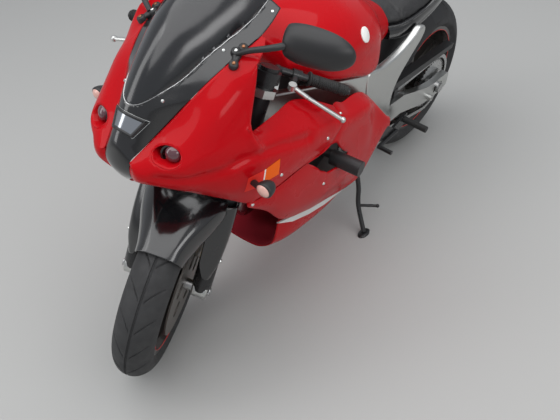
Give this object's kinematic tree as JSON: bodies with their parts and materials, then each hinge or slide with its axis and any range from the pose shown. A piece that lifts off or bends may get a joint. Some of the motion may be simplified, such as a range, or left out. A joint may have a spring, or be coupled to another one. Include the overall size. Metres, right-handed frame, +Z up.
{
  "type": "sport bike",
  "caption": "Fully faired two-wheeled sport bike leaning on its side stand, with free wheels, steering between stops and a folding stand.",
  "frame": {"origin": "on the floor, under the middle of the parked bike's length and width", "axes": "+X forward along the bike, +Y to the rider's left, +Z up from the floor"},
  "size_m": [2.085, 0.7964, 1.1724],
  "materials": {
    "red_paint": "gloss red paint on moulded plastic",
    "black_gloss": "gloss black",
    "black_plastic": "satin black moulded plastic",
    "black_metal": "satin black enamel",
    "aluminium": "brushed and polished",
    "silver_paint": "silver paint",
    "engine_grey": "cast and painted dark grey",
    "steel": "bare steel",
    "fork_gold": "pale gold hard coat",
    "caliper_gold": "gold enamel",
    "silencer_shell": "brushed can",
    "rim_bronze": "dark bronze-grey paint",
    "tyre": "worn road tread",
    "rubber": "ribbed black rubber",
    "seat_vinyl": "grained black vinyl",
    "spring": "enamelled spring",
    "tinted_screen": "dark tinted",
    "lamp_glass": "clear lamp glass",
    "tail_lens": "red lens",
    "mirror_glass": "mirror glass"
  },
  "bodies": {
    "chassis": {"headstock": "aluminium", "frame_beam_left": "aluminium", "frame_beam_right": "aluminium", "cross_members": "black_metal", "engine": "engine_grey", "radiator": "black_metal", "swingarm": "aluminium", "spool_bosses": "aluminium", "rear_axle": "steel", "chain": "steel", "rear_hugger": "black_plastic", "shock": "spring", "rear_caliper": "caliper_gold", "exhaust_pipe": "steel", "silencer": "silencer_shell", "fuel_tank": "red_paint", "seat": "seat_vinyl", "tail_cowl": "black_gloss", "tail_lamp": "tail_lens", "undertray": "black_plastic", "upper_fairing_left": "red_paint", "upper_fairing_right": "red_paint", "signals": "black_plastic", "lower_fairing_left": "red_paint", "lower_fairing_right": "red_paint", "belly_pan": "red_paint", "nose_panel": "black_gloss", "windscreen": "tinted_screen", "headlamps": "lamp_glass", "fairing_stay": "black_metal", "instruments": "black_plastic", "mirrors": "black_plastic", "mirror_glass": "mirror_glass", "crash_sliders": "black_plastic", "side_scoops": "silver_paint", "footrest_hangers": "aluminium", "footrests": "rubber"},
    "fork": {"fork_tubes": "black_metal", "fork_legs": "fork_gold", "axle_clamps": "aluminium", "front_axle": "steel", "yokes": "aluminium", "clip_ons": "black_metal", "grips": "rubber", "levers": "aluminium", "front_calipers": "caliper_gold", "front_fender": "black_gloss"},
    "front_wheel": {"front_rim": "rim_bronze", "front_tyre": "tyre", "front_discs": "steel"},
    "rear_wheel": {"rear_rim": "rim_bronze", "rear_tyre": "tyre", "rear_disc": "steel", "rear_sprocket": "steel"},
    "side_stand": {"side_stand": "black_metal"}
  },
  "joints": [
    {"name": "steering", "type": "hinge", "parent": "chassis", "child": "fork", "pos_m": [0.53295, -0.04622, 0.72809], "axis": [-0.4029, 0.1586, 0.9014], "range_deg": [-50, 0]},
    {"name": "front_wheel_spin", "type": "hinge", "parent": "fork", "child": "front_wheel", "pos_m": [0.76174, -0.10969, 0.28683], "axis": [-0.3875, 0.8627, -0.325], "continuous": true},
    {"name": "rear_wheel_spin", "type": "hinge", "parent": "chassis", "child": "rear_wheel", "pos_m": [-0.63034, -0.1206, 0.31124], "axis": [-0.0007, 0.9848, -0.1736], "continuous": true},
    {"name": "side_stand_fold", "type": "hinge", "parent": "chassis", "child": "side_stand", "pos_m": [-0.05568, 0.01398, 0.23122], "axis": [0.0013, 0.9563, 0.2924], "range_deg": [0, 86]}
  ]
}
